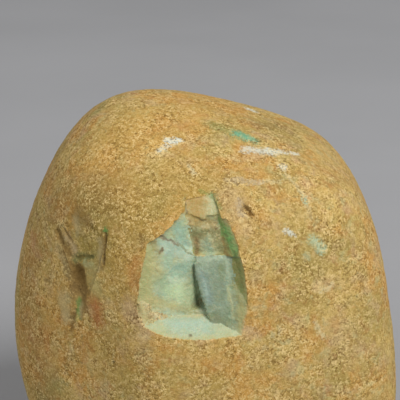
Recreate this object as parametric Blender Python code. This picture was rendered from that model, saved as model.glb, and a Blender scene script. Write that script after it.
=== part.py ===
"""A raw jade boulder: one water-worn lump of jadeite with a broken window in its front.

The rounded skin is a ball drawn in to a set of worn faces, with low lumps over it. Behind the skin the
window is a group of flat breaks: a mint face on the left, a slab that still stands on the right, a
sloping floor, a green wall down the right side and three steps at the top. A shallow scar lies on the
left. The boulder rests on the flat worn patch underneath.

A bearing is like a compass bearing seen from above: 0 faces the front (-Y), 90 the right (+X), 180 the
back and 270 the left. A tilt is the angle of a face's normal above the horizon. Distances and places
below are in millimetres, and places are measured from the heart of the boulder.
"""

import math

import bmesh
import bpy
from mathutils import Vector, noise

MM = 0.001

# The heart stands over the middle of the base, so that the boulder's box is centred on the origin.
HEART = Vector((2.65, 1.65, 98)) * MM

# Worn faces of the skin: bearing, tilt, distance from the heart.
WORN_FACES = {
    "crown": (80, 74, 92.5),
    "right shoulder": (90, 48, 95.5),
    "right flank": (90, 10, 85),
    "right flank low": (86, -4, 104),
    "right foot": (90, -44, 112),
    "left shoulder": (270, 54, 110),
    "left flank": (270, 20, 95),
    "left flank low": (270, -10, 100),
    "left foot": (270, -42, 108),
    "front right": (18, 6, 76),
    "front left": (320, 5, 81),
    "brow": (0, 48, 91),
    "front foot": (0, -40, 96),
    "back": (175, 5, 76),
    "back right corner": (135, 5, 91),
    "back left corner": (225, 5, 92),
    "back shoulder": (180, 45, 90),
    "back foot": (180, -42, 98),
    "underside": (0, -88, 101),
}
ROUNDING = 9  # how tightly one worn face turns into the next: 2 would be soft, 20 nearly a corner
BALL_SPLITS = 5  # times that the ball's 20 triangles are split in four
LUMPS = ((46, 0.6), (17, 0.25))  # spacing and height of the low lumps on the skin

# Broken faces: bearing, tilt, a place on the face.
BREAKS = {
    "mint face": (13, 9, (-30.2, -73.2, 25.6)),
    "mint face end": (256, -12, (-9.5, -62.9, 59.6)),
    "mint face middle": (0, 80, (-8.2, -65.7, 39.9)),
    "upper left rim": (120, -52, (-11.4, -63.5, 60.9)),
    "left rim": (68, -4, (-26.5, -68.9, 48.7)),
    "lower left rim": (59, 40, (-30.3, -74.3, 24.2)),
    "floor": (14, 53, (-7.4, -79.7, 9.7)),
    "crevice": (246, -18, (-6.4, -67.7, 40.2)),
    "slab front": (7, 9, (7.9, -65.8, 42.2)),
    "slab edge": (55, 18, (-6.5, -67.7, 40.2)),
    "slab toe": (345, 17, (0.7, -68.2, 16.6)),
    "slab head": (0, -80, (2.3, -66.4, 42.2)),
    "slab ledge": (10, 81, (-5.3, -67.2, 42.5)),
    "green wall": (331, 2, (13.7, -69.1, 41.2)),
    "upper green wall": (330, 6, (7.8, -63.7, 57.6)),
    "wall roof": (175, -73, (-1.9, -65.0, 57.8)),
    "wall side": (79, 14, (-1.0, -62.4, 56.7)),
    "step side": (76, 12, (-10.1, -63.1, 59.6)),
    "low step": (359, 0, (-4.9, -63.1, 42.1)),
    "low step roof": (203, -64, (-7.8, -64.3, 53.3)),
    "middle step": (9, 13, (-8.2, -64.1, 54.6)),
    "middle step roof": (222, -62, (-10.3, -62.3, 60.2)),
    "top step": (6, 29, (-9.1, -62.2, 60.2)),
    "top step left": (79, 11, (-10.3, -59.4, 65.9)),
    "top step right": (287, -10, (1.7, -57.5, 67.1)),
    "top step end": (144, -76, (-9.9, -59.4, 65.9)),
    "scar floor": (320, 7, (-62.7, -45.7, 40.3)),
    "scar left": (61, 27, (-66.7, -41.4, 46.2)),
    "scar right": (276, 17, (-42.3, -60.0, 52.7)),
    "scar top": (348, -60, (-67.0, -41.0, 46.6)),
    "scar foot": (312, 66, (-60.0, -52.9, 21.0)),
}

# Each hollow is the space in front of all of its breaks.
HOLLOWS = {
    "mint_hollow": (
        "mint face", "floor", "crevice", "upper left rim", "left rim", "lower left rim"
    ),
    "upper_mint_hollow": (
        "mint face", "upper left rim", "left rim", "mint face end", "mint face middle"
    ),
    "slab_hollow": (
        "slab front", "floor", "green wall", "slab edge", "slab toe", "slab head"
    ),
    "low_step_hollow": (
        "low step", "slab ledge", "upper green wall", "step side", "low step roof"
    ),
    "middle_step_hollow": (
        "middle step", "slab ledge", "upper green wall", "step side", "middle step roof"
    ),
    "green_wall_hollow": (
        "middle step", "slab ledge", "upper green wall", "wall side", "wall roof"
    ),
    "top_step_hollow": ("top step", "top step left", "top step right", "top step end"),
    "scar_hollow": ("scar floor", "scar left", "scar right", "scar top", "scar foot"),
}
HOLLOW_BLANK = 100  # side of the block that each hollow is split from

# A small knocked-out chip beside the window: place, half sizes along its own axes, turn about the
# view from the front.
CHIP_PLACE = (17.6, -60.8, 59.6)
CHIP_HALF = (5.4, 1.8, 1.9)
CHIP_TURN = 36

SKIN_COLOUR = (0.42, 0.27, 0.09, 1)
JADE_COLOUR = (0.40, 0.50, 0.32, 1)


def facing(bearing, tilt):
    """The unit vector that points along a bearing and tilt."""
    turn = math.radians(bearing)
    lift = math.radians(tilt)
    level = math.cos(lift)
    return Vector((math.sin(turn) * level, -math.cos(turn) * level, math.sin(lift)))


def skin_distance(direction):
    """How far the worn skin is from the heart along a direction."""
    total = 0.0
    for bearing, tilt, distance in WORN_FACES.values():
        towards = direction.dot(facing(bearing, tilt))
        if towards > 0:
            total += (towards / (distance * MM)) ** ROUNDING
    return total ** (-1 / ROUNDING)


def lump_height(place):
    """Height of the low lumps at a place on the skin."""
    return sum(
        height * MM * noise.noise(place / (spacing * MM)) for spacing, height in LUMPS
    )


def new_material(name, colour, roughness):
    material = bpy.data.materials.new(name)
    material.use_nodes = True
    shader = material.node_tree.nodes["Principled BSDF"]
    shader.inputs["Base Color"].default_value = colour
    shader.inputs["Roughness"].default_value = roughness
    shader.inputs["Metallic"].default_value = 0
    material.diffuse_color = colour
    return material


def move_to(thing, collection):
    for owner in list(thing.users_collection):
        owner.objects.unlink(thing)
    collection.objects.link(thing)


def split_off(shape, place, normal):
    """Keeps the part of a closed convex shape that lies on the normal's side of a plane."""
    cut = bmesh.ops.bisect_plane(
        shape,
        geom=shape.verts[:] + shape.edges[:] + shape.faces[:],
        plane_co=place,
        plane_no=normal,
        clear_inner=True,
    )
    rim = [item for item in cut["geom_cut"] if isinstance(item, bmesh.types.BMEdge)]
    bmesh.ops.holes_fill(shape, edges=rim, sides=0)


def make_boulder(collection, material):
    """The worn boulder without its breaks, split flat where it rests."""
    bpy.ops.mesh.primitive_ico_sphere_add(subdivisions=BALL_SPLITS, radius=1)
    boulder = bpy.context.object
    boulder.name = boulder.data.name = "boulder"
    move_to(boulder, collection)
    shape = bmesh.new()
    shape.from_mesh(boulder.data)
    for vert in shape.verts:
        direction = vert.co.normalized()
        worn = direction * skin_distance(direction)
        vert.co = HEART + worn + direction * lump_height(worn)
    split_off(shape, Vector((0, 0, 0)), Vector((0, 0, 1)))
    bmesh.ops.triangulate(shape, faces=shape.faces[:])
    shape.to_mesh(boulder.data)
    shape.free()
    boulder.data.shade_smooth()
    boulder.data.materials.append(material)
    return boulder


def make_hollow(name, breaks, collection, material):
    """A block split by each of the hollow's breaks in turn."""
    places = [Vector(BREAKS[key][2]) * MM for key in breaks]
    middle = HEART + sum(places, Vector()) / len(places)
    shape = bmesh.new()
    bmesh.ops.create_cube(shape, size=HOLLOW_BLANK * MM)
    bmesh.ops.translate(shape, verts=shape.verts, vec=middle)
    for key in breaks:
        bearing, tilt, place = BREAKS[key]
        split_off(shape, HEART + Vector(place) * MM, facing(bearing, tilt))
    bmesh.ops.recalc_face_normals(shape, faces=shape.faces)
    mesh = bpy.data.meshes.new(name)
    shape.to_mesh(mesh)
    shape.free()
    mesh.materials.append(material)
    hollow = bpy.data.objects.new(name, mesh)
    collection.objects.link(hollow)
    return hollow


def make_chip(collection, material):
    """A lens-shaped cutter for the small chip."""
    bpy.ops.mesh.primitive_ico_sphere_add(
        subdivisions=2,
        radius=1,
        location=HEART + Vector(CHIP_PLACE) * MM,
        rotation=(0, math.radians(CHIP_TURN), 0),
        scale=Vector(CHIP_HALF) * MM,
    )
    chip = bpy.context.object
    chip.name = chip.data.name = "chip"
    chip.data.materials.append(material)
    move_to(chip, collection)
    return chip


def carve(boulder, cutters):
    """Takes all of the cutters away from the boulder in one step."""
    for cutter in cutters.objects:
        cutter.hide_render = True
        cutter.display_type = "WIRE"
    difference = boulder.modifiers.new(cutters.name, "BOOLEAN")
    difference.operation = "DIFFERENCE"
    difference.solver = "EXACT"
    difference.material_mode = "TRANSFER"
    difference.operand_type = "COLLECTION"
    difference.collection = cutters


def new_collection(name):
    collection = bpy.data.collections.new(name)
    bpy.context.scene.collection.children.link(collection)
    return collection


def main():
    for thing in list(bpy.data.objects):
        bpy.data.objects.remove(thing)
    stone = new_collection("raw_jade_boulder")
    cutters = new_collection("cutters")
    skin = new_material("worn_skin", SKIN_COLOUR, 0.75)
    jade = new_material("broken_jade", JADE_COLOUR, 0.5)
    boulder = make_boulder(stone, skin)
    for name, breaks in HOLLOWS.items():
        make_hollow(name, breaks, cutters, jade)
    make_chip(cutters, skin)
    carve(boulder, cutters)


main()
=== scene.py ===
"""The looks of the raw jade boulder: its worn ochre skin, the broken window with its jade, and the stage.

The skin is a ball that Geometry Nodes draw in to the boulder's worn faces. The window and the scar are
blocks split along named breaks, joined, roughened and taken out of the skin; the chips are dents pressed
in. The materials read how deep each point lies under the skin, so the stained rind follows every rim.

A bearing is like a compass bearing seen from above: 0 faces the front (-Y), 90 the right (+X), 180 the
back and 270 the left. A tilt is the angle of a face's normal above the horizon. Places are in
millimetres from the heart of the boulder, and MM turns them into metres.
"""

import math

import bmesh
import bpy
import numpy as np
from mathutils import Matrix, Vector, noise


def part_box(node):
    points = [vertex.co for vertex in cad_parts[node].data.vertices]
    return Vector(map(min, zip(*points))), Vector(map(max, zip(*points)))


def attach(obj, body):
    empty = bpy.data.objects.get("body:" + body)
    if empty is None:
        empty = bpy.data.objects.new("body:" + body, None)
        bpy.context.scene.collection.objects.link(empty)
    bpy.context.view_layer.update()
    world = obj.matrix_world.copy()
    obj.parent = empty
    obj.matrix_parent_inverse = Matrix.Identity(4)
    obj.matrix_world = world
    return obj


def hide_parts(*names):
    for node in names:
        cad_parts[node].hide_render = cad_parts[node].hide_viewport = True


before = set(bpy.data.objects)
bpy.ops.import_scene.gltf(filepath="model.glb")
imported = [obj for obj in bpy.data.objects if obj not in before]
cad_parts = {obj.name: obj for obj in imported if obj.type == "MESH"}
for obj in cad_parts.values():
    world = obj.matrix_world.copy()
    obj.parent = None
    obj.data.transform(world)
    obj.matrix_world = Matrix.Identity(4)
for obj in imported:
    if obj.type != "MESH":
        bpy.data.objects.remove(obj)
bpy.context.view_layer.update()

bl_info = {
    "name": "Raw Jade Boulder",
    "version": (1, 0, 0),
    "blender": (4, 5, 0),
    "location": "3D View > Sidebar > Boulder",
    "description": "Makes a worn jade boulder with a broken window, and a stage for it",
    "category": "Add Mesh",
}

NODE = "boulder"
BODY = "root"
RELIEF = "relief"  # attribute: how strong the relief is at a point
DEPTH = "depth"  # attribute: how many millimetres a point lies under the whole skin
NOISE_SPAN = 2.5  # noise mostly stays within a fifth of its middle, so it is widened by this
DENT_WANDER = 3  # spacing of the wandering of grooves
SCAR_MIDDLE = (-59, -52, 27)  # the skin around it takes the scar's own marks
TURNED_AWAY = 5  # millimetres that facing squarely away from a break counts for
CRISP_ANGLE = 38  # edges that turn further than this stay crisp
SKIN_SPECKLE = 0.6  # strength of the grains of the weathered skin
PATCH_SPACING = 11  # of the patches in which the grains are stronger
PATCH_LOW = 0.6  # strength of the grains between those patches
PATCH_GAIN = 0.8  # and what a patch adds to it
VEIN_SCALE = 0.16  # cells of the net of veins in a millimetre
VEIN_STRENGTH = 0.25
STAIN_REACH = 4  # how deep the straw stain goes, in thicknesses of the rind over it
STAIN_STRENGTH = 0.6
FRONT_FLATTEN = 0.2  # share of a distance from front to back that counts for the marks on breaks

LOWEST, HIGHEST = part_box(NODE)
BOULDER_HEIGHT = 195.4
MM = (HIGHEST.z - LOWEST.z) / BOULDER_HEIGHT
BASE_MIDDLE = Vector(((LOWEST.x + HIGHEST.x) / 2, (LOWEST.y + HIGHEST.y) / 2, LOWEST.z))
HEART = BASE_MIDDLE + Vector((2.65, 1.65, 98)) * MM

# How much the soft outlines of marks break up into grains.
BROAD_BREAKUP = 0.8
SKIN_BREAKUP = 1.4
SCAR_BREAKUP = 0.8
JADE_BREAKUP = 0.6

# Worn faces of the skin: bearing, tilt, distance from the heart.
WORN_FACES = {
    "crown": (80, 74, 92.5),
    "right shoulder": (90, 48, 95.5),
    "right flank": (90, 10, 85),
    "right flank low": (86, -4, 104),
    "right foot": (90, -44, 112),
    "left shoulder": (270, 54, 110),
    "left flank": (270, 20, 95),
    "left flank low": (270, -10, 100),
    "left foot": (270, -42, 108),
    "front right": (18, 6, 76),
    "front left": (320, 5, 81),
    "brow": (0, 48, 91),
    "front foot": (0, -40, 96),
    "back": (175, 5, 76),
    "back right corner": (135, 5, 91),
    "back left corner": (225, 5, 92),
    "back shoulder": (180, 45, 90),
    "back foot": (180, -42, 98),
    "underside": (0, -88, 101),
}
ROUNDING = 9  # how tightly one worn face turns into the next: 2 would be soft, 20 nearly a corner
BALL_SPLITS = 7  # times that the ball's 20 triangles are split in four
LUMPS = ((46, 0.6), (17, 0.25))  # spacing and height of the low lumps on the skin
BASE_EDGE = 0.5  # height above the base up to which the skin has no relief
BASE_FADE = 4  # height over which the relief then grows to its full strength

# Spacing and height of the broad and the fine bumps of a surface.
SKIN_RELIEF = {"Broad Spacing": 7, "Broad Height": 0.8, "Fine Spacing": 2.4, "Fine Height": 0.4}
BREAK_RELIEF = {"Broad Spacing": 6, "Broad Height": 1.7, "Fine Spacing": 1.8, "Fine Height": 0.6}

# Where the skin needs small triangles: place, reach, times that each triangle is split in four.
FINE_AREAS = {
    "around the window": ((-3, -69, 38), 38, 1),
    "at the window's rim": ((-4, -69, 38), 33, 1),
    "around the scar": ((-58, -54, 27), 27, 2),
}

# Broken faces: bearing, tilt, a place on the face.
BREAKS = {
    "mint face": (13, 9, (-30.2, -73.2, 25.6)),
    "upper mint face": (13, 6, (-13.7, -65.0, 48.0)),
    "crack lip": (77, 63, (-13.7, -65.8, 48.0)),
    "mint face end": (256, -12, (-9.5, -62.9, 59.6)),
    "mint face middle": (0, 80, (-8.2, -65.7, 39.9)),
    "upper left rim": (120, -52, (-11.4, -63.5, 60.9)),
    "left rim": (68, -4, (-26.5, -68.9, 48.7)),
    "lower left rim": (24, 24, (-30.6, -74.1, 24.6)),
    "floor": (14, 53, (-7.4, -79.7, 9.7)),
    "crevice": (235.5, -20.7, (-8.3, -66.5, 39.3)),
    "crevice left": (56.7, 3.8, (-7.5, -65.4, 39.7)),
    "crevice back": (23, -2.3, (-7.5, -65.4, 39.7)),
    "crevice foot": (0, 84, (-8.2, -69.0, 18.9)),
    "crevice right": (238.4, -16.2, (-7.1, -65.8, 40.1)),
    "slab front": (7, 13, (0.3, -70.5, 18.5)),
    "slab edge": (55.5, 20.7, (-8.3, -66.5, 39.3)),
    "slab toe": (345, 17, (-1.1, -68.2, 16.6)),
    "slab head": (0, -80, (2.3, -66.4, 42.2)),
    "slab ledge": (10, 81, (-5.3, -67.2, 42.5)),
    "green wall": (305.7, -2.6, (10.2, -63.9, 41.5)),
    "green slope": (334, 10, (9.6, -64.0, 41.5)),
    "upper green wall": (324, 3, (6.2, -63.3, 44.4)),
    "wall roof": (175, -73, (-1.9, -65.0, 57.8)),
    "wall side": (79, 14, (-1.0, -62.4, 56.7)),
    "step side": (76, 12, (-10.1, -63.1, 59.6)),
    "low step": (359, 0, (-4.9, -63.1, 42.1)),
    "low step roof": (203, -64, (-7.8, -64.3, 53.3)),
    "middle step": (9, 13, (-8.2, -63.2, 54.6)),
    "middle step roof": (222, -62, (-10.3, -62.3, 60.2)),
    "top step": (6.7, 29.5, (-9.5, -59.0, 66.2)),
    "top step left": (79, 11, (-10.3, -59.4, 65.9)),
    "top step right": (287, -10, (1.7, -57.5, 67.1)),
    "top step end": (144, -76, (-9.9, -59.4, 65.9)),
    "scar floor": (320, 7, (-62.7, -45.7, 40.3)),
    "scar left": (352, 30, (-66.4, -41.8, 45.8)),
    "scar right": (276, 17, (-42.3, -60.0, 52.7)),
    "scar foot": (312, 66, (-60.0, -52.9, 21.0)),
}

# Each hollow is the space in front of all of its breaks.
WINDOW_HOLLOWS = {
    "mint hollow": ("mint face", "floor", "crevice", "upper left rim", "left rim", "lower left rim"),
    "upper mint hollow": (
        "mint face", "upper left rim", "left rim", "mint face end", "mint face middle"
    ),
    "cracked mint hollow": (
        "upper mint face", "crack lip", "upper left rim", "left rim", "mint face end"
    ),
    "crevice hollow": ("crevice left", "crevice back", "crevice right", "crevice foot"),
    "slab hollow": (
        "slab front", "floor", "green wall", "green slope", "slab edge", "slab toe", "slab head"
    ),
    "low step hollow": ("low step", "slab ledge", "upper green wall", "step side", "low step roof"),
    "middle step hollow": (
        "middle step", "slab ledge", "upper green wall", "step side", "middle step roof"
    ),
    "green wall hollow": ("middle step", "slab ledge", "upper green wall", "wall side", "wall roof"),
    "top step hollow": ("top step", "top step left", "top step right", "top step end"),
}
SCAR_HOLLOWS = {
    "scar hollow": ("scar floor", "scar left", "scar right", "scar foot"),
}
HOLLOW_BLANK = 100  # side of the block that each hollow is split from
BREAK_VOXEL = 0.45  # grain of the mesh of the broken faces

# Where each group of blocks is cropped in front of the skin: bearing, tilt, a place on the crop.
BLANK_FRONTS = {
    "window": (3, 20, (0, -86, 20)),
    "scar": (318, 8, (-68, -58, 34)),
}

# How strong the relief is on each break, where it isn't 1.
FACE_RELIEF = {
    "mint face": 0.8,
    "upper mint face": 0.8,
    "slab front": 0.6,
    "floor": 0.4,
    "low step": 1.3,
    "middle step": 1.5,
    "top step": 0.8,
    "left rim": 1.8,
    "lower left rim": 1.8,
    "upper left rim": 1.5,
}

# Grooves and small hollows: from, to, half width, narrowing towards the second end, depth.
DENTS = {
    "scar groove": ((-66.6, -41.4, 45.4), (-59.6, -49.6, 30.5), 1.6, 1.4, 1.3),
    "scar hollow": ((-57.0, -52.0, 29.0), (-55.9, -55.3, 22.0), 4.8, 0.9, 2.4),
    "scar tail": ((-56.3, -57.0, 17.5), (-56.9, -57.4, 10.6), 3.8, 0.6, 1.3),
    "scar foot streak": ((-58.7, -55.6, 13.2), (-61.3, -54.2, 4.5), 1.6, 0.7, 0.8),
    "scar right line": ((-44.2, -59.5, 50.0), (-45.2, -62.3, 37.5), 1.2, 0.9, 1.1),
    "scar mark": ((-57.5, -50.8, 36.0), (-50.6, -56.1, 38.8), 1.5, 0.8, 1.1),
    "scar branch": ((-63.6, -43.7, 46.8), (-59.8, -47.8, 43.0), 1.0, 0.8, 0.6),
    "notch": ((-30.3, -74.6, 23.9), (-29.2, -76.1, 18.6), 0.9, 0.8, 1.4),
    "chip": ((15.2, -59.9, 61.4), (17.4, -60.7, 59.6), 2.2, 0.7, 1.6),
    "chip line": ((17.0, -60.6, 59.9), (22.2, -61.4, 56.4), 0.9, 0.5, 0.5),
    "chip shallow": ((14.0, -60.8, 58.2), (19.0, -61.0, 58.5), 3.0, 1.0, 0.4),
    "pit by the crack": ((-20.8, -68.3, 45.8), (-19.8, -68.0, 46.4), 0.7, 1.0, 0.6),
    "pit by the rim": ((-24.0, -68.2, 49.2), (-23.2, -68.0, 49.6), 0.6, 1.0, 0.5),
    "pock": ((-41.4, -71.4, -4.4), (-41.0, -71.4, -4.6), 0.9, 1.0, 0.9),
}

# Which finish each broken face takes.
BREAK_FINISHES = {
    "mint jade": (
        "mint face",
        "upper mint face",
        "crack lip",
        "mint face end",
        "mint face middle",
        "crevice",
        "crevice left",
        "crevice back",
        "crevice foot",
    ),
    "grey jade": ("slab front", "slab edge", "slab toe", "slab head", "crevice right"),
    "pale jade": ("floor",),
    "green jade": ("green wall", "green slope", "upper green wall", "wall side"),
    "stained jade": (
        "low step",
        "low step roof",
        "middle step",
        "middle step roof",
        "top step",
        "top step left",
        "top step right",
        "top step end",
        "step side",
        "slab ledge",
        "wall roof",
    ),
    "crushed stone": ("left rim", "lower left rim", "upper left rim"),
    "ochre skin": ("scar floor", "scar left", "scar right", "scar foot"),
}

# Tints of marks and grains, as linear red, green and blue.
TINTS = {
    "chalk": (0.68, 0.71, 0.60),
    "cream": (0.64, 0.55, 0.31),
    "pale grain": (0.78, 0.58, 0.26),
    "brown grain": (0.17, 0.095, 0.02),
    "umber": (0.12, 0.07, 0.022),
    "bark": (0.19, 0.115, 0.033),
    "bronze": (0.42, 0.25, 0.058),
    "tan": (0.33, 0.22, 0.075),
    "rust": (0.38, 0.13, 0.04),
    "pink beige": (0.50, 0.35, 0.19),
    "grey pink": (0.47, 0.37, 0.23),
    "pale olive": (0.41, 0.31, 0.10),
    "olive": (0.30, 0.235, 0.055),
    "moss": (0.18, 0.23, 0.07),
    "wall olive": (0.25, 0.25, 0.075),
    "leaf": (0.10, 0.27, 0.065),
    "grass": (0.13, 0.38, 0.10),
    "sea green": (0.15, 0.42, 0.26),
    "pale sea green": (0.42, 0.55, 0.36),
    "lime": (0.45, 0.54, 0.29),
    "bright lime": (0.53, 0.66, 0.37),
    "sage": (0.28, 0.40, 0.23),
    "clay": (0.58, 0.39, 0.15),
    "bronze green": (0.30, 0.23, 0.055),
    "dusty straw": (0.46, 0.38, 0.185),
    "straw": (0.45, 0.41, 0.17),
    "dull straw": (0.36, 0.37, 0.145),
    "olive straw": (0.30, 0.285, 0.10),
    "pale straw": (0.46, 0.47, 0.24),
    "orange": (0.55, 0.30, 0.07),
    "warm ochre": (0.42, 0.265, 0.062),
    "frost": (0.44, 0.54, 0.37),
    "cool white": (0.40, 0.53, 0.41),
    "ice": (0.29, 0.43, 0.30),
    "steel": (0.21, 0.30, 0.26),
    "slate": (0.21, 0.27, 0.175),
    "dark olive": (0.18, 0.18, 0.065),
    "shade": (0.06, 0.055, 0.02),
}

# Grains: the shades at which each tint begins and is at its full strength.
GRAIN_SHADES = {
    "pale grain": (0.55, 0.95),
    "brown grain": (0.45, 0.05),
}

# Soft patches of the weathered skin, laid over one another: tint, or colour of the skin's look, with
# a capital, then spacing, cover, softness of the outline, strength and shift of the pattern.
SKIN_CLOUDS = (
    ("Olive", 24, 0.35, 0.25, 0.7, 5),
    ("Orange", 17, 0.35, 0.2, 0.7, 9),
    ("pink beige", 8, 0.15, 0.25, 0.6, 13),
    ("rust", 5, 0.1, 0.25, 0.4, 17),
    ("bark", 4.5, 0.1, 0.25, 0.3, 29),
    ("pale olive", 6, 0.2, 0.25, 0.6, 21),
    ("pale straw", 4, 0.05, 0.2, 0.4, 25),
)

# Marks: tint, from, to, half width, narrowing towards the second end, soft share of the width, strength.
# An end is a place, or a bearing and tilt along which it is met on the worn skin.

# Broad tinges, on the skin everywhere and under its grains.
BROAD_MARKS = {
    "orange crown": ("orange", (-18, -26, 91), (4, 4, 93), 14, 1, 1, 0.45),
    "orange shoulder": ("orange", (-46, -39, 78), (-35, -31, 87), 13, 1, 1, 0.5),
    "olive brow": ("pale olive", (-34, -54, 68), (-14, -52, 72), 11, 1, 1, 0.45),
    "bronze side": ("bronze", (-44, -54, 66), (-36, -66, 46), 12, 1, 1, 0.55),
    "brown flank": ("bark", (-66, -38, 58), (-50, -50, 62), 12, 1, 1, 0.4),
    "rusty flank": ("rust", (-78, -28, 36), (-80, -33, -6), 7, 1.2, 1, 0.3),
    "orange flank": ("orange", (-66, -48, 22), (-68, -47, 4), 7, 1, 1, 0.35),
    "olive flank": ("olive", (-85, -29, -3), (-83, -34, -20), 18, 1, 1, 0.2),
    "olive foot": ("moss", (-75, -45, -34), (-69, -51, -25), 6, 1, 1, 0.5),
    "bronze foot": ("bronze", (-50, -66, 0), (10, -76, -8), 14, 1, 1, 0.35),
    "bronze brow": ("bronze", (-24, -55, 66), (6, -56, 69), 11, 1, 1, 0.6),
    "olive side": ("olive", (-50, -55, 54), (-44, -62, 30), 10, 1, 1, 0.4),
    "olive brow right": ("pale olive", (-6, -52, 73), (6, -54, 70), 6, 1, 1, 0.4),
    "bronze by the window": ("bronze", (-35, -68, 44), (-36, -72, 22), 6, 1, 1, 0.4),
    "green tinge": ("pale olive", (36, -62, 44), (46, -60, 36), 6, 1, 1, 0.35),
    "rusty foot": ("rust", (-72, -40, -12), (-70, -42, -30), 10, 1, 1, 0.3),
    "pink low": ("pink beige", (54, -60, 8), (60, -56, -6), 6, 1, 1, 0.35),
    "pink by the chip": ("pink beige", (7.9, -57.0, 66.9), (13.5, -61.1, 58.9), 5, 1, 1, 0.45),
    "orange by the chip": ("orange", (18.5, -59.5, 61.5), (21.5, -60.3, 59.0), 2.6, 1, 1, 0.5),
    "orange by the peak": ("orange", (-18.5, -66.0, 56.5), (-14, -61.2, 65.6), 3.4, 1, 1, 0.5),
    "rust by the window": ("rust", (-31.8, -69.4, 42.2), (-30.9, -72.2, 33.4), 2.6, 1, 1, 0.4),
    "pink corner": ("pink beige", (-33.6, -73.4, 21.1), (-26.5, -78.2, 13.5), 3.6, 0.9, 1, 0.7),
    "pink right corner": ("pink beige", (14.3, -73.4, 12.5), (19.9, -72.4, 9.7), 3, 0.8, 1, 0.7),
}

# Chalky smears, moss and the sea-green patch, on the skin above the window.
CROWN_MARKS = {
    "brow chalk": ("chalk", (-18.0, -36.4, 85.2), (-12.6, -35.9, 85.1), 1.7, 0.9, 0.8, 1),
    "brow chalk tail": ("chalk", (-21.5, -41.3, 82), (-17.4, -38.8, 83.5), 1.3, 0.8, 1, 0.7),
    "ledge chalk": ("cream", (-9.1, -47.2, 77.3), (-6.1, -51.3, 74.1), 0.9, 0.8, 1, 0.8),
    "ledge hairline": ("bark", (-13.9, -40.6, 82.1), (-7.4, -48.5, 76.4), 0.45, 1, 1, 0.5),
    "long chalk": ("chalk", (15.5, -35.7, 81.1), (26.7, -33.7, 79.2), 1.9, 1, 1, 0.75),
    "long chalk end": ("chalk", (26.7, -33.7, 79.2), (39.5, -27.0, 76.5), 1.9, 0.4, 1, 0.75),
    "crown chalk": ("chalk", (18.8, 8.9, 87.9), (21.6, 8.5, 86.9), 2.0, 0.7, 1, 0.95),
    "crown smudge": ("bark", (21.3, -12.4, 85.8), (34.2, -2.7, 81.9), 3.5, 1, 1, 0.5),
    "moss halo": ("moss", (2.6, -24.2, 88.5), (20.7, -27.2, 82.9), 3, 1, 1, 0.5),
    "sea green patch": ("sea green", (12.2, -26.3, 85.3), (19.8, -27.4, 83), 2.3, 0.9, 1, 0.9),
    "grey streak": ("grey pink", (8.4, -51.7, 72.0), (22.5, -50.7, 70.3), 1.4, 0.8, 1, 0.7),
    "grey streak end": ("cream", (22.5, -50.7, 70.3), (37.4, -45.0, 70.8), 1.0, 0.5, 1, 0.55),
    "grey streak tip": ("umber", (7.5, -50.0, 73.7), (9.2, -53.9, 70.0), 0.9, 0.8, 1, 0.4),
    "right dot": ("chalk", (30.6, -41.4, 74.9), (32.6, -41.2, 74.4), 1.2, 1, 1, 0.8),
    "left edge moss": ("moss", (-51.0, -4.7, 90.4), (-48.3, 2.9, 92.3), 3, 1, 1, 0.5),
}

# Dots, scratches and stains, on the skin at the front and sides.
SKIN_MARKS = {
    "lower scratch": ("cream", (40.0, -50.5, 65.5), (43.5, -55.5, 57.0), 1.2, 1, 1, 0.35),
    "green dot": ("pale sea green", (41.0, -52.2, 63.8), (41.2, -52.6, 62.4), 1.3, 1, 1, 0.75),
    "long dot": ("chalk", (32.5, -60.7, 52.1), (36.0, -60.3, 49.9), 1.1, 1, 0.9, 0.85),
    "pale patch": ("pale sea green", (44.3, -58.4, 47.0), (48.0, -57.9, 42.8), 2.0, 0.9, 1, 0.8),
    "small patch": ("pale sea green", (41.3, -61.1, 41.2), (41.5, -61.2, 40.2), 1.4, 1, 1, 0.4),
    "low chalk": ("cream", (48.1, -61.7, 25.0), (52.5, -59.9, 26.6), 1.3, 1, 1, 0.7),
    "low streak": ("cream", (45.6, -64.4, 11.3), (49.3, -64.1, 4.6), 1.1, 0.8, 1, 0.6),
    "low dot": ("cream", (30.3, -69.4, 10.2), (30.5, -69.4, 9.6), 1.2, 1, 1, 0.45),
    "lower dot": ("cream", (26.4, -70.7, 8.9), (26.6, -70.7, 8.3), 1.0, 1, 1, 0.45),
    "clay corner": ("clay", (11.0, -75.2, 8.6), (15.4, -73.9, 10.4), 2.1, 0.8, 1, 0.6),
    "olive above the rim": (
        "bronze green", (-31.0, -64.4, 54.5), (-19.0, -60.2, 64.6), 6.5, 1, 1, 0.5
    ),
    "dark corner": ("umber", (-33.0, -74.0, 22.0), (-31.8, -74.8, 18.6), 1.4, 0.7, 1, 0.45),
    "pale by the chip": ("grey pink", (12.3, -58.6, 63.8), (14.0, -60.6, 59.6), 1.5, 1, 1, 0.8),
    # The chip pit's umber is partly the pit's own dark colour and partly painted shade in the pit.
    "chip pit": ("umber", (15.4, -59.6, 61.3), (17.2, -60.2, 59.8), 1.6, 0.7, 1, 0.75),
    "chip line": ("bark", (17.0, -60.6, 59.8), (22.2, -61.4, 56.4), 0.7, 0.4, 1, 0.6),
    "dark left of window": ("bark", (-28.8, -66.7, 51.5), (-28.4, -68.6, 47.7), 1.4, 0.8, 1, 0.6),
    "notch shade": ("umber", (-30.6, -74.4, 24.2), (-29.8, -75.9, 18.8), 0.9, 0.8, 1, 0.8),
    "black pock": ("shade", (-41.4, -71.4, -4.4), (-41.0, -71.4, -4.6), 0.9, 1, 0.6, 0.9),
}

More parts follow.
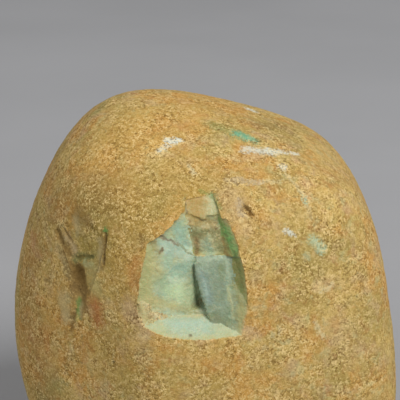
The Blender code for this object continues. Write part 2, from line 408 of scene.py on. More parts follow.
# The scar's grooves and stains, and those around it.
SCAR_MARKS = {
    "scar olive floor": ("olive", (-56.5, -51.0, 43.0), (-53.0, -54.5, 32.0), 7, 0.8, 1, 0.4),
    "scar pink": ("grey pink", (-62.2, -45.7, 44.0), (-58.6, -49.0, 39.5), 2.2, 1, 1, 0.5),
    "scar rim": ("dusty straw", (-65.5, -44.4, 40.8), (-60.8, -51.2, 28.0), 2.0, 1.1, 1, 0.55),
    # The dark bark of the scar groove is partly its own colour and partly painted shade at the groove's
    # foot.
    "scar groove": ("bark", (-66.6, -41.2, 45.2), (-62.8, -45.6, 38.4), 1.6, 1.3, 1, 0.85),
    "scar groove end": ("bark", (-62.8, -45.6, 38.4), (-58.6, -50.6, 28.5), 2.4, 1.2, 1, 0.9),
    "scar hollow": ("bark", (-56.8, -51.8, 30.0), (-55.6, -55.1, 21.0), 4.8, 0.9, 0.8, 0.9),
    "scar hollow end": ("umber", (-58.2, -54.0, 22.4), (-54.0, -56.5, 22.4), 2.4, 1, 1, 0.65),
    "scar tail": ("tan", (-56.2, -55.6, 18.4), (-56.4, -56.3, 13.0), 4.0, 0.7, 1, 0.85),
    "scar tail side": ("bark", (-52.8, -58.8, 21.0), (-53.2, -59.0, 15.5), 1.9, 0.8, 1, 0.6),
    "scar pale foot": ("dusty straw", (-64.2, -50.0, 17.4), (-63.1, -52.3, 8.5), 3.4, 0.8, 1, 0.6),
    "scar green streak": ("leaf", (-57.0, -55.4, 18.4), (-57.1, -56.4, 10.2), 1.1, 1, 1, 0.65),
    "scar pale streak": ("dusty straw", (-55.3, -56.1, 16.6), (-55.7, -56.6, 10.3), 1.1, 0.9, 1, 0.6),
    "scar dark foot": ("bark", (-59.7, -54.5, 11.3), (-60.4, -55.0, 3.4), 1.9, 0.8, 1, 0.7),
    "scar right line": ("bark", (-43.7, -58.7, 50.5), (-45.3, -61.3, 36.5), 1.7, 1.0, 1, 0.85),
    "scar right side": ("dusty straw", (-46.8, -58.2, 46.2), (-47.2, -61.2, 35.0), 1.7, 0.8, 1, 0.6),
    "scar green spot": ("leaf", (-44.3, -59.1, 52.2), (-44.1, -59.1, 51.0), 1.0, 1, 1, 0.8),
    "scar mark": ("dark olive", (-58.2, -50.2, 35.6), (-50.6, -56.1, 38.8), 1.7, 0.9, 1, 0.85),
    "scar mark branch": ("bark", (-63.6, -43.7, 46.8), (-59.8, -47.8, 43.0), 1.2, 0.8, 1, 0.6),
    "scar pale spot": ("lime", (-53.9, -53.8, 35.2), (-51.1, -56.4, 35.1), 1.3, 1, 1, 0.4),
    "scar speckled side": ("straw", (-50.7, -57.5, 31.5), (-47.8, -61.5, 26.2), 3.6, 1, 1, 0.45),
    "scar brow": ("dusty straw", (-57.8, -47.4, 52.9), (-57.0, -49.3, 47.4), 2.0, 1, 1, 0.6),
    "scar brow shade": ("bark", (-56.9, -47.8, 55.8), (-52.7, -52.0, 53.6), 2.6, 1, 1, 0.5),
    "rust by the scar": ("rust", (-49.3, -62.9, 19.1), (-48.0, -64.2, 13.0), 3.2, 1, 1, 0.7),
    "left hairline": ("bark", (-76.9, -36.1, 21.0), (-66.8, -46.5, 22.7), 0.8, 1, 1, 0.7),
}

# On the mint face, the crack across it and the crevice.
MINT_MARKS = {
    "rim stain": ("straw", (-26.8, -70.0, 41.3), (-27.8, -73.2, 21.2), 5.4, 1, 1, 0.8),
    "rim olive": ("dull straw", (-25.5, -69.0, 46.5), (-27.6, -72.6, 27.0), 2.5, 1, 1, 0.8),
    "rim stain top": ("straw", (-20.5, -66.7, 52.5), (-12.0, -63.0, 62.0), 2, 0.7, 1, 0.6),
    "low straw": ("straw", (-26.0, -71.6, 25.0), (-6.0, -68.4, 18.8), 2.6, 0.7, 1, 0.75),
    "blue mint": ("ice", (-13.3, -64.2, 54.6), (-10.8, -64.6, 47.5), 2.4, 0.9, 1, 0.95),
    "frost by the crack": ("cool white", (-19, -67.5, 48.5), (-9, -65.5, 43), 2.4, 0.9, 1, 0.7),
    "teal band": ("ice", (-15.4, -68.0, 36.4), (-9.4, -66.2, 37.6), 2.9, 1, 1, 0.95),
    "teal low": ("sage", (-20.0, -70.3, 32.5), (-17.4, -70.3, 28.0), 2.7, 1, 1, 0.75),
    "straw patch": ("straw", (-23.6, -69.0, 42.0), (-21.4, -69.2, 36.5), 2.2, 1, 1, 0.55),
    "bright lime": ("bright lime", (-14.2, -68.9, 29.3), (-8.7, -68.6, 23.7), 3.8, 0.9, 1, 0.8),
    "frost middle": ("frost", (-16, -67.6, 33.2), (-10.0, -66.4, 32.6), 1.2, 1, 1, 0.7),
    "crack line": ("umber", (-20.8, -66.5, 51.8), (-13.7, -65.6, 48.0), 0.6, 1, 0.9, 0.75),
    "crack line end": ("dark olive", (-13.7, -65.6, 48.0), (-6.1, -65.0, 42.3), 0.5, 0.7, 0.9, 0.6),
    "pit by the crack": ("umber", (-20.8, -68.3, 45.8), (-19.8, -68.0, 46.4), 0.7, 1, 0.9, 0.85),
    "pit by the rim": ("umber", (-24.2, -68.2, 49.0), (-23.0, -68.0, 49.6), 0.7, 1, 1, 0.7),
    "rim shade": ("olive", (-24.6, -68.4, 49.4), (-22.0, -68.2, 46.5), 1.4, 1, 1, 0.5),
    # The two marks below are painted shade on the mint face beside and in the crevice, under the slab's
    # edge.
    "crevice side shade": ("dark olive", (-8.0, -65.6, 37.0), (-10.0, -68.0, 20.5), 1.2, 2.2, 1, 0.35),
    "crevice shade": ("shade", (-5.6, -65.0, 23.0), (-4.4, -64.0, 18.5), 2.0, 1.4, 1, 0.4),
}

# On the standing slab.
SLAB_MARKS = {
    "slab top": ("frost", (-4.6, -66.2, 38.5), (7.0, -64.6, 39.5), 2.4, 1, 1, 0.3),
    "slab blue": ("steel", (-4.0, -68.0, 35.0), (0.2, -69.4, 24.5), 2.3, 0.9, 1, 0.85),
    "slab pale blue": ("cool white", (-2.8, -68.2, 32.5), (-1.0, -69.2, 26.5), 0.6, 1, 1, 0.4),
    "slab slate": ("slate", (3.2, -67.5, 36.0), (4.6, -69.5, 17.0), 3.4, 1, 1, 0.7),
    "slab moss": ("moss", (4.8, -66.4, 37.0), (5.4, -67.0, 33.5), 1.2, 1, 1, 0.35),
    "slab cream vein": ("pale straw", (7.9, -68.1, 28.5), (8.6, -68.5, 23.7), 0.8, 1, 1, 0.7),
    "slab cream vein end": ("pale straw", (8.6, -68.5, 23.7), (10.8, -70.3, 16.5), 0.8, 1, 1, 0.7),
    "slab pale vein": ("frost", (7.9, -66.2, 40.1), (9.2, -67.3, 31.4), 0.7, 1, 1, 0.5),
    # Painted highlight along the slab's top edge.
    "slab top highlight": ("frost", (-6.3, -66.0, 41.3), (9.5, -64.2, 41.4), 0.7, 1, 1, 0.6),
    "slab corner": ("chalk", (-7.0, -66.0, 40.8), (-6.7, -66.0, 40.3), 0.7, 1, 1, 0.7),
    "slab left": ("slate", (-6.4, -66.4, 38.0), (-3.0, -68.4, 22.0), 1.6, 1, 1, 0.6),
    "slab olive side": ("olive straw", (12.4, -69.0, 29.0), (14.4, -72.0, 13.0), 2.3, 1, 1, 0.8),
    "slab olive foot": ("dark olive", (2.4, -70.0, 15.5), (8.6, -70.4, 11.5), 2.2, 1, 1, 0.5),
}

# On the window's sloping floor.
FLOOR_MARKS = {
    "floor straw left": ("pale straw", (-27.5, -78.5, 14.7), (-20.5, -77.0, 14.2), 3, 1, 1, 0.6),
    "floor straw right": ("pale straw", (5.3, -74.8, 11.4), (13.5, -73.4, 10.8), 3, 1, 1, 0.6),
    "floor lip": ("pale straw", (-19.5, -79.4, 12.0), (4.5, -77.8, 9.2), 1.6, 1, 1, 0.55),
    "floor cool": ("cool white", (-15.5, -74.6, 15.0), (-2.6, -72.9, 13.8), 2.6, 0.9, 1, 0.5),
    "floor speck": ("umber", (-8.7, -78.4, 10.9), (-8.4, -78.4, 10.9), 0.5, 1, 1, 0.8),
    "floor crumbs": ("straw", (-16.8, -71.3, 18.0), (-3.4, -68.9, 17.0), 1.0, 1, 1, 0.7),
}

# On the green wall at the right.
WALL_MARKS = {
    "vivid green": ("grass", (7.6, -64.8, 53.5), (11.2, -66.2, 44.0), 1.8, 1.1, 1, 0.9),
    "vivid green end": ("leaf", (11.2, -66.2, 44.0), (12.6, -68.5, 36.0), 1.5, 0.7, 1, 0.6),
    "green end": ("leaf", (4.2, -62.2, 57.5), (7.6, -64.0, 53.5), 1.1, 1.2, 1, 0.6),
    "brown patch": ("tan", (5.7, -63.8, 48.0), (7.8, -65.3, 42.6), 1.8, 1, 1, 0.7),
    "wall line": ("umber", (9.0, -64.5, 50.0), (11.4, -66.4, 40.0), 0.4, 1, 1, 0.35),
    "wall spot": ("umber", (6.8, -64.0, 51.7), (7.2, -64.0, 51.3), 0.6, 1, 1, 0.6),
    "wall olive": ("wall olive", (11.4, -66.0, 38.0), (13.8, -71.0, 16.0), 3.6, 1.1, 1, 0.85),
    "wall moss": ("moss", (13.6, -69.3, 30.0), (15.4, -71.8, 19.0), 1.2, 1, 1, 0.6),
    "wall foot brown": ("tan", (12.6, -70.6, 15.8), (15.6, -72.4, 12.8), 2.2, 1, 1, 0.6),
    "cream lump": ("cream", (13.6, -70.0, 22.4), (13.8, -71.1, 18.8), 1.4, 1, 0.9, 0.9),
    "cream lump side": ("bark", (15.4, -70.6, 22.6), (15.6, -71.6, 18.0), 0.6, 1, 1, 0.5),
}

# On the three steps at the top of the window. The ledge shade, the dark olive band under the middle step
# with its leg down the left of the green facet, and the olive shade right of the pale ridge are painted
# shade.
STEP_MARKS = {
    "peak pale streak": ("pale sea green", (-11.0, -59.3, 66.2), (-10.9, -61.8, 61.5), 0.8, 1, 1, 0.7),
    "ledge shade": ("dark olive", (-9.5, -62.6, 60.3), (-1.0, -62.6, 57.4), 1.3, 1, 1, 0.75),
    "step tan": ("tan", (-8.2, -63.4, 56.6), (0.8, -63.0, 55.6), 2.0, 1, 1, 0.5),
    "shadow band": ("dark olive", (-6.9, -63.1, 51.3), (1.2, -63.1, 51.6), 2.2, 0.9, 1, 0.85),
    "shadow leg": ("bark", (-5.6, -63.1, 49.5), (-4.8, -64.3, 42.6), 0.9, 0.9, 1, 0.75),
    "green facet": ("ice", (-1.6, -63.2, 47.4), (0.2, -63.3, 43.6), 2.2, 1, 1, 0.7),
    "facet rim": ("pale straw", (-0.4, -63.1, 51.0), (1.8, -63.3, 48.0), 0.7, 1, 1, 0.8),
    "facet rim end": ("pale straw", (1.8, -63.3, 48.0), (2.6, -63.4, 43.4), 0.7, 1, 1, 0.8),
    "olive shade": ("dark olive", (3.9, -63.2, 51.5), (5.0, -63.8, 45.0), 2, 1, 1, 0.75),
    "step specks": ("umber", (-9.1, -63.3, 57.0), (-8.6, -63.4, 56.8), 0.7, 1, 1, 0.8),
    "dark spot": ("umber", (2.6, -62.5, 54.1), (3.0, -62.5, 53.9), 0.7, 1, 1, 0.7),
}

# On the window's crushed left rim.
CRUSH_MARKS = {
    "crush shade": ("bark", (-31.0, -74.2, 25.5), (-29.6, -76.0, 18.6), 1.2, 0.8, 1, 0.7),
    "rim stain": ("straw", (-27.3, -69.6, 45.0), (-28.6, -73.0, 30.0), 2.4, 1, 1, 0.6),
}

# Smears, stains and a hairline, on the skin at the back and the far sides.
BACK_MARKS = {
    "back chalk": ("chalk", (160, 38), (166, 35), 1.8, 0.7, 1, 0.8),
    "back dot": ("chalk", (192, 28), (194, 27), 1.4, 1, 1, 0.7),
    "back streak": ("cream", (212, 30), (206, 20), 1.6, 0.6, 1, 0.5),
    "back moss": ("moss", (205, 38), (190, 36), 4, 1, 1, 0.4),
    "back rust": ("rust", (158, -5), (150, -14), 8, 1, 1, 0.35),
    "back bark": ("bark", (185, 6), (176, -8), 9, 1, 1, 0.35),
    "back hairline": ("bark", (226, 2), (194, -18), 0.8, 0.8, 1, 0.6),
    "back green": ("pale sea green", (172, -22), (167, -24), 2.2, 0.8, 1, 0.6),
    "right streak": ("grey pink", (92, 18), (103, 14), 1.6, 0.6, 1, 0.6),
    "right chalk": ("chalk", (106, -2), (111, -5), 1.6, 0.6, 1, 0.7),
    "right bark": ("bark", (98, -18), (112, -26), 8, 1, 1, 0.35),
    "left streak": ("cream", (258, 10), (250, 4), 1.6, 0.6, 1, 0.5),
    "left moss": ("moss", (266, 24), (250, 28), 6, 1, 1, 0.35),
}

# At the peak of the window, across its rim.
PEAK_MARKS = {
    "peak lime": ("pale straw", (1.0, -58.8, 65.6), (-0.2, -61.5, 60.2), 2.4, 0.8, 1, 0.8),
    "peak left edge": ("dull straw", (-10.8, -58.5, 67.0), (-10.5, -61.0, 62.5), 0.9, 0.8, 1, 0.7),
    "peak orange": ("warm ochre", (-6.8, -57.5, 68.0), (-5.4, -61.0, 61.2), 4.2, 1, 1, 0.9),
    # The umber line below is painted shadow of the step down at the left side of the top step.
    "peak step shadow": ("umber", (-10.3, -59.0, 66.0), (-10.0, -62.0, 60.4), 0.5, 1, 1, 0.75),
    "peak right line": ("moss", (1.8, -57.6, 66.4), (4.2, -61.2, 61.8), 1.0, 1, 1, 0.7),
    "peak green": ("leaf", (-3.0, -57.0, 68.0), (1.0, -57.5, 67.4), 1.0, 1, 1, 0.4),
}

# On both sides of where the crown's finish begins.
SHARED_MARKS = {
    **PEAK_MARKS,
    "scratch": ("cream", (31.5, -42.5, 74.0), (40.0, -50.5, 65.5), 0.8, 1, 1, 0.55),
}

# Finishes of the broken stone: main colour, which is one of the jade's look or a tint, marks, clouds and
# other settings. Clouds are: tint, spacing, cover, softness of the outline, strength.
BROKEN_STONE = {
    "mint jade": (
        "mint",
        MINT_MARKS,
        (
            ("frost", 6, 0.5, 0.3, 0.9),
            ("ice", 5, 0.35, 0.3, 0.9),
            ("lime", 7, 0.35, 0.3, 0.7),
            ("cool white", 3, 0.2, 0.3, 0.7),
            ("straw", 4, 0.25, 0.3, 0.6),
        ),
        {"rind": 0.6},
    ),
    "grey jade": (
        "slab",
        SLAB_MARKS,
        (
            ("slate", 5, 0.4, 0.25, 0.8),
            ("steel", 4, 0.2, 0.2, 0.4),
            ("ice", 3.5, 0.3, 0.2, 0.5),
            ("moss", 5, 0.25, 0.2, 0.5),
            ("frost", 2, 0.15, 0.2, 0.4),
        ),
        {"speckles": 0.08},
    ),
    "pale jade": (
        "pale",
        FLOOR_MARKS,
        (
            ("frost", 4, 0.4, 0.3, 0.5),
            ("ice", 3.5, 0.3, 0.3, 0.5),
            ("straw", 5, 0.25, 0.3, 0.4),
        ),
        {"rind": 0.5},
    ),
    "green jade": (
        "green",
        WALL_MARKS,
        (
            ("moss", 4, 0.4, 0.2, 0.8),
            ("pale olive", 5, 0.3, 0.2, 0.7),
            ("tan", 3, 0.3, 0.2, 0.7),
        ),
        {"rind": 0.9},
    ),
    "stained jade": (
        "straw",
        STEP_MARKS,
        (
            ("tan", 4, 0.4, 0.35, 0.6),
            ("lime", 5, 0.25, 0.35, 0.4),
            ("moss", 4, 0.3, 0.35, 0.6),
            ("cream", 2, 0.1, 0.35, 0.4),
        ),
        {"rind": 1.1, "speckles": 0.25},
    ),
    "crushed stone": (
        "dusty straw",
        CRUSH_MARKS,
        (
            ("cream", 3, 0.3, 0.2, 0.6),
            ("straw", 5, 0.35, 0.2, 0.7),
            ("tan", 3, 0.35, 0.2, 0.7),
        ),
        {"rind": 1.2, "speckles": 0.4, "roughness": 0.7},
    ),
}

# Lights: bearing, tilt, then distance from the heart and width, both in metres.
LIGHTS = {
    "key light": (42, 46, 4.0, 2.2),
    "fill light": (320, 35, 4.0, 3.2),
}
FLOOR_RADIUS = 4  # in metres
FLOOR_SIDES = 96
FLOOR_SHADE = 0.94  # brightness of the floor's darker clouds, against the rest

CAMERA_TARGET = (-4, 0, 46.2)  # from the heart
CAMERA_TILT = 18
CAMERA_DISTANCE = 620
FRAME_WIDTH = 188  # what the frame takes in at the target
SENSOR_WIDTH = 36


def facing(bearing, tilt):
    """The unit vector that points along a bearing and tilt."""
    turn = math.radians(bearing)
    lift = math.radians(tilt)
    level = math.cos(lift)
    return Vector((math.sin(turn) * level, -math.cos(turn) * level, math.sin(lift)))


def spot(place):
    """A place in millimetres from the heart, as a point of the model."""
    return HEART + Vector(place) * MM


def on_skin(bearing, tilt):
    """The place where the worn skin is met from the heart along a bearing and tilt."""
    direction = facing(bearing, tilt)
    total = 0.0
    for face_bearing, face_tilt, distance in WORN_FACES.values():
        towards = direction.dot(facing(face_bearing, face_tilt))
        if towards > 0:
            total += (towards / distance) ** ROUNDING
    return direction * total ** (-1 / ROUNDING)


# Node trees


def add(tree, kind, feeds=None, **settings):
    """Adds a node. A feed that is a socket is linked to the input of that name, and any other is set."""
    node = tree.nodes.new(kind)
    for name, value in settings.items():
        setattr(node, name, value)
    for name, value in (feeds or {}).items():
        if isinstance(value, bpy.types.NodeSocket):
            tree.links.new(value, node.inputs[name])
        else:
            node.inputs[name].default_value = value
    return node


def maths(tree, operation, first, second=0.0, third=0.0, clamp=False):
    feeds = {0: first, 1: second, 2: third}
    return add(tree, "ShaderNodeMath", feeds, operation=operation, use_clamp=clamp).outputs[0]


def vectors(tree, operation, first, second=(0, 0, 0)):
    node = add(tree, "ShaderNodeVectorMath", {0: first, 1: second}, operation=operation)
    return node.outputs["Value" if operation in ("DOT_PRODUCT", "LENGTH") else "Vector"]


def scaled(tree, vector, factor):
    node = add(tree, "ShaderNodeVectorMath", {0: vector, "Scale": factor}, operation="SCALE")
    return node.outputs["Vector"]


def ramp(tree, value, low, high):
    """0 where the value is low, 1 where it is high, and smooth between."""
    feeds = {"Value": value, "From Min": low, "From Max": high}
    return add(tree, "ShaderNodeMapRange", feeds, interpolation_type="SMOOTHSTEP").outputs["Result"]


def noise_value(tree, place, spacing, detail=2.0):
    feeds = {"Vector": place, "Scale": 1 / spacing, "Detail": detail}
    return add(tree, "ShaderNodeTexNoise", feeds).outputs[0]


def moved_aside(tree, place, pattern, scale, amount):
    """Moves a place aside by a noise that is read where the pattern says."""
    aside = add(tree, "ShaderNodeTexNoise", {"Vector": pattern, "Scale": scale, "Detail": 2.0})
    middle = vectors(tree, "SUBTRACT", aside.outputs[1], (0.5, 0.5, 0.5))
    factor = maths(tree, "MULTIPLY", amount, NOISE_SPAN)
    return vectors(tree, "ADD", place, scaled(tree, middle, factor))


def new_tree(name, kind, inputs, outputs):
    """A node tree with named sockets. Each has its kind of socket, or a number where an input is a float
    with that default. Returns the tree, its inputs by name and its output node."""
    tree = bpy.data.node_groups.new(name, kind)
    for label, given in inputs.items():
        socket = given if isinstance(given, str) else "Float"
        made = tree.interface.new_socket(label, in_out="INPUT", socket_type=f"NodeSocket{socket}")
        if not isinstance(given, str):
            made.default_value = given
    for label, socket in outputs.items():
        tree.interface.new_socket(label, in_out="OUTPUT", socket_type=f"NodeSocket{socket}")
    start = tree.nodes.new("NodeGroupInput")
    return tree, {s.name: s for s in start.outputs if s.name}, tree.nodes.new("NodeGroupOutput")


def keep_result(thing):
    """Turns what the modifiers make into the object's own mesh, and removes them."""
    graph = bpy.context.evaluated_depsgraph_get()
    mesh = bpy.data.meshes.new_from_object(thing.evaluated_get(graph))
    old = thing.data
    thing.modifiers.clear()
    thing.data = mesh
    mesh.name = thing.name
    bpy.data.meshes.remove(old)


def run_tree(thing, tree, values):
    """Runs a Geometry Nodes tree on an object and keeps the result as its plain mesh."""
    modifier = thing.modifiers.new(tree.name, "NODES")
    modifier.node_group = tree
    for item in tree.interface.items_tree:
        if item.name in values and item.in_out == "INPUT":
            modifier[item.identifier] = values[item.name]
    thing.update_tag()
    keep_result(thing)


def streak_group(kind="ShaderNodeTree"):
    """A mask that is 1 along a line between two places and falls to 0 at the half width. Taper is the
    width at the second end as a share of that at the first, and Edge is the soft share of the width."""
    tree, given, end = new_tree(
        "Streak",
        kind,
        {"Place": "Vector", "From": "Vector", "To": "Vector", "Half Width": 1.0, "Taper": 1.0, "Edge": 0.5},
        {"Mask": "Float"},
    )
    span = vectors(tree, "SUBTRACT", given["To"], given["From"])
    out = vectors(tree, "SUBTRACT", given["Place"], given["From"])
    length = maths(tree, "MAXIMUM", vectors(tree, "DOT_PRODUCT", span, span), 1e-6)
    along = maths(tree, "DIVIDE", vectors(tree, "DOT_PRODUCT", out, span), length, clamp=True)
    aside = vectors(tree, "SUBTRACT", out, scaled(tree, span, along))
    narrowing = maths(tree, "SUBTRACT", given["Taper"], 1.0)
    share = maths(tree, "ADD", maths(tree, "MULTIPLY", along, narrowing), 1.0)
    width = maths(tree, "MULTIPLY", given["Half Width"], share)
    distance = maths(tree, "DIVIDE", vectors(tree, "LENGTH", aside), width)
    mask = ramp(tree, distance, 1.0, maths(tree, "SUBTRACT", 1.0, given["Edge"]))
    tree.links.new(mask, end.inputs["Mask"])
    return tree


def set_finish(tree, geometry, material, where=True):
    node = add(
        tree,
        "GeometryNodeSetMaterial",
        {"Geometry": geometry, "Selection": where, "Material": material},
    )
    return node.outputs[0]


def realized(tree, geometry):
    return add(tree, "GeometryNodeRealizeInstances", {"Geometry": geometry}).outputs[0]


def worn_distance_group():
    """Distance of the worn skin from the heart along a direction: each face draws the ball in to itself,
    and Rounding says how tightly one face turns into the next."""
    tree, given, end = new_tree(
        "Worn distance",
        "GeometryNodeTree",
        {"Direction": "Vector", "Rounding": float(ROUNDING)},
        {"Distance": "Float"},
    )
    total = 0.0
    for bearing, tilt, distance in WORN_FACES.values():
        drawn = facing(bearing, tilt) / (distance * MM)
        towards = vectors(tree, "DOT_PRODUCT", given["Direction"], drawn)
        ahead = maths(tree, "MAXIMUM", towards, 0.0)
        total = maths(tree, "ADD", maths(tree, "POWER", ahead, given["Rounding"]), total)
    root = maths(tree, "DIVIDE", -1.0, given["Rounding"])
    tree.links.new(maths(tree, "POWER", total, root), end.inputs["Distance"])
    return tree


def worn_skin_tree():
    """Draws a ball of radius 1 in to the boulder's worn faces, around the heart."""
    tree, given, end = new_tree(
        "Worn skin",
        "GeometryNodeTree",
        {"Geometry": "Geometry", "Rounding": float(ROUNDING), "Material": "Material"},
        {"Geometry": "Geometry"},
    )
    position = add(tree, "GeometryNodeInputPosition").outputs[0]
    direction = vectors(tree, "NORMALIZE", position)
    distance = add(
        tree,
        "GeometryNodeGroup",
        {"Direction": direction, "Rounding": given["Rounding"]},
        node_tree=worn_distance_group(),
    )
    worn = scaled(tree, direction, distance.outputs["Distance"])
    placed = vectors(tree, "ADD", worn, HEART)
    moved = add(
        tree, "GeometryNodeSetPosition", {"Geometry": given["Geometry"], "Position": placed}
    )
    finished = set_finish(tree, realized(tree, moved.outputs[0]), given["Material"])
    tree.links.new(finished, end.inputs["Geometry"])
    return tree


def relief_tree():
    """Raises and lowers a surface along its normals by two sizes of noise, as far as its relief allows."""
    tree, given, end = new_tree(
        "Relief",
        "GeometryNodeTree",
        {
            "Geometry": "Geometry",
            "Broad Spacing": 6 * MM,
            "Broad Height": 0.2 * MM,
            "Fine Spacing": 2 * MM,
            "Fine Height": 0.1 * MM,
            "Material": "Material",
        },
        {"Geometry": "Geometry"},
    )
    position = add(tree, "GeometryNodeInputPosition").outputs[0]
    normal = add(tree, "GeometryNodeInputNormal").outputs[0]
    total = 0.0
    for size in ("Broad", "Fine"):
        scale = maths(tree, "DIVIDE", 1.0, given[f"{size} Spacing"])
        bumps = add(tree, "ShaderNodeTexNoise", {"Vector": position, "Scale": scale, "Detail": 2.0})
        middle = maths(tree, "SUBTRACT", bumps.outputs[0], 0.5)
        height = maths(tree, "MULTIPLY", middle, given[f"{size} Height"])
        total = maths(tree, "ADD", height, total)
    strength = add(tree, "GeometryNodeInputNamedAttribute", {"Name": RELIEF}, data_type="FLOAT")
    offset = scaled(tree, normal, maths(tree, "MULTIPLY", total, strength.outputs["Attribute"]))
    moved = add(tree, "GeometryNodeSetPosition", {"Geometry": given["Geometry"], "Offset": offset})
    finished = set_finish(tree, realized(tree, moved.outputs[0]), given["Material"])
    tree.links.new(finished, end.inputs["Geometry"])
    return tree


def dents_pressed(tree, given, place):
    """Presses the grooves and small hollows in along the surface's normals."""
    streak = streak_group("GeometryNodeTree")
    ragged = moved_aside(tree, place, place, 1 / DENT_WANDER, given["Raggedness"])
    total = 0.0
    for start, stop, half_width, taper, depth in DENTS.values():
        feeds = {
            "Place": ragged,
            "From": start,
            "To": stop,
            "Half Width": half_width,
            "Taper": taper,
            "Edge": 0.9,
        }
        dent = add(tree, "GeometryNodeGroup", feeds, node_tree=streak)
        pressed = maths(tree, "MULTIPLY", dent.outputs["Mask"], -depth * MM)
        total = maths(tree, "ADD", pressed, total)
    normal = add(tree, "GeometryNodeInputNormal").outputs[0]
    offset = scaled(tree, normal, maths(tree, "MULTIPLY", total, given["Dent Depth"]))
    feeds = {"Geometry": given["Geometry"], "Offset": offset}
    return add(tree, "GeometryNodeSetPosition", feeds).outputs[0]


def depth_stored(tree, geometry, whole_skin):
    """Stores how many millimetres each point lies under the whole skin."""
    whole = add(tree, "GeometryNodeObjectInfo", {"Object": whole_skin})
    nearest = add(
        tree,
        "GeometryNodeProximity",
        {"Geometry": whole.outputs["Geometry"]},
        target_element="FACES",
    )
    depth = maths(tree, "DIVIDE", nearest.outputs["Distance"], MM)
    stored = add(
        tree,
        "GeometryNodeStoreNamedAttribute",
        {"Geometry": geometry, "Name": DEPTH, "Value": depth},
        data_type="FLOAT",
        domain="POINT",
    )
    return stored.outputs[0]


def skin_finished(tree, given, geometry, place):
    """Gives the outermost edge of the breaks the skin's own finish, and then the skin around the scar, at
    the back and at the crown the finishes of their own marks."""
    depth = add(tree, "GeometryNodeInputNamedAttribute", {"Name": DEPTH}, data_type="FLOAT")
    edge = maths(tree, "LESS_THAN", depth.outputs["Attribute"], given["Edge"])
    geometry = set_finish(tree, geometry, given["Material"], edge)
    skin = add(tree, "GeometryNodeMaterialSelection", {"Material": given["Material"]}).outputs[0]
    away = vectors(tree, "LENGTH", vectors(tree, "SUBTRACT", place, SCAR_MIDDLE))
    near = maths(tree, "LESS_THAN", away, given["Scar Reach"])
    scarred = maths(tree, "MULTIPLY", near, skin)
    geometry = set_finish(tree, geometry, given["Scar Material"], scarred)
    along = add(tree, "ShaderNodeSeparateXYZ", {"Vector": place}).outputs
    behind = maths(tree, "GREATER_THAN", along["Y"], given["Back Start"])
    backed = maths(tree, "MULTIPLY", behind, skin)
    geometry = set_finish(tree, geometry, given["Back Material"], backed)
    high = maths(tree, "GREATER_THAN", along["Z"], given["Crown Height"])
    crowned = maths(tree, "MULTIPLY", high, maths(tree, "MAXIMUM", skin, behind))
    return set_finish(tree, geometry, given["Crown Material"], crowned)


def rims_tree():
    """Presses in the dents, stores how deep each point lies, and gives each part of the skin its finish."""
    tree, given, end = new_tree(
        "Rims",
        "GeometryNodeTree",
        {
            "Geometry": "Geometry",
            "Whole Skin": "Object",
            "Dent Depth": 1.0,
            "Raggedness": 0.6,
            "Edge": 0.15,
            "Material": "Material",
            "Scar Material": "Material",
            "Scar Reach": 34.0,
            "Back Material": "Material",
            "Back Start": -5.0,
            "Crown Material": "Material",
            "Crown Height": 69.5,
        },
        {"Geometry": "Geometry"},
    )
    position = add(tree, "GeometryNodeInputPosition").outputs[0]
    place = scaled(tree, vectors(tree, "SUBTRACT", position, HEART), 1 / MM)
    dented = dents_pressed(tree, given, place)
    deep = realized(tree, depth_stored(tree, dented, given["Whole Skin"]))
    tree.links.new(skin_finished(tree, given, deep, place), end.inputs["Geometry"])
    return tree


# The boulder's shape


def points_of(mesh):
    points = np.empty(len(mesh.vertices) * 3, np.float32)
    mesh.vertices.foreach_get("co", points)
    return points.reshape(-1, 3)


def new_object(name, mesh):
    thing = bpy.data.objects.new(name, mesh)
    bpy.context.scene.collection.objects.link(thing)
    return thing


def mesh_of(shape, name):
    mesh = bpy.data.meshes.new(name)
    shape.to_mesh(mesh)
    shape.free()
    return mesh


def roughen(thing, strengths, relief, material):
    """Gives a surface its small relief. Strengths say how strong it is at each point."""
    attribute = thing.data.attributes.new(RELIEF, "FLOAT", "POINT")
    attribute.data.foreach_set("value", np.asarray(strengths, np.float32))
    sizes = {name: size * MM for name, size in relief.items()}
    run_tree(thing, relief_tree(), {**sizes, "Material": material})


def unit_ball():
    """A ball of near-equal triangles, split finer where the boulder has detail."""
    shape = bmesh.new()
    bmesh.ops.create_icosphere(shape, subdivisions=BALL_SPLITS, radius=1)
    for place, reach, splits in FINE_AREAS.values():
        towards = Vector(place).normalized()
        widest = math.cos(reach / Vector(place).length)
        for _ in range(splits):
            near = [
                edge
                for edge in shape.edges
                if all(vert.co.normalized().dot(towards) > widest for vert in edge.verts)
            ]
            bmesh.ops.subdivide_edges(shape, edges=near, cuts=1, use_grid_fill=True)
    bmesh.ops.triangulate(shape, faces=shape.faces[:])
    return mesh_of(shape, "ball")


def split_off(shape, place, normal):
    """Keeps the part of a closed shape that lies on the normal's side of a plane."""
    cut = bmesh.ops.bisect_plane(
        shape,
        geom=shape.verts[:] + shape.edges[:] + shape.faces[:],
        plane_co=place,
        plane_no=normal,
        clear_inner=True,
    )
    rim = [item for item in cut["geom_cut"] if isinstance(item, bmesh.types.BMEdge)]
    bmesh.ops.holes_fill(shape, edges=rim, sides=0)


def raise_lumps(thing):
    """Adds the low lumps, and splits the boulder flat where it rests."""
    shape = bmesh.new()
    shape.from_mesh(thing.data)
    for vert in shape.verts:
        place = vert.co - HEART
        lump = sum(height * MM * noise.noise(place / (spacing * MM)) for spacing, height in LUMPS)
        vert.co += place.normalized() * lump
    split_off(shape, BASE_MIDDLE, Vector((0, 0, 1)))
    bmesh.ops.triangulate(shape, faces=shape.faces[:])
    shape.to_mesh(thing.data)
    shape.free()


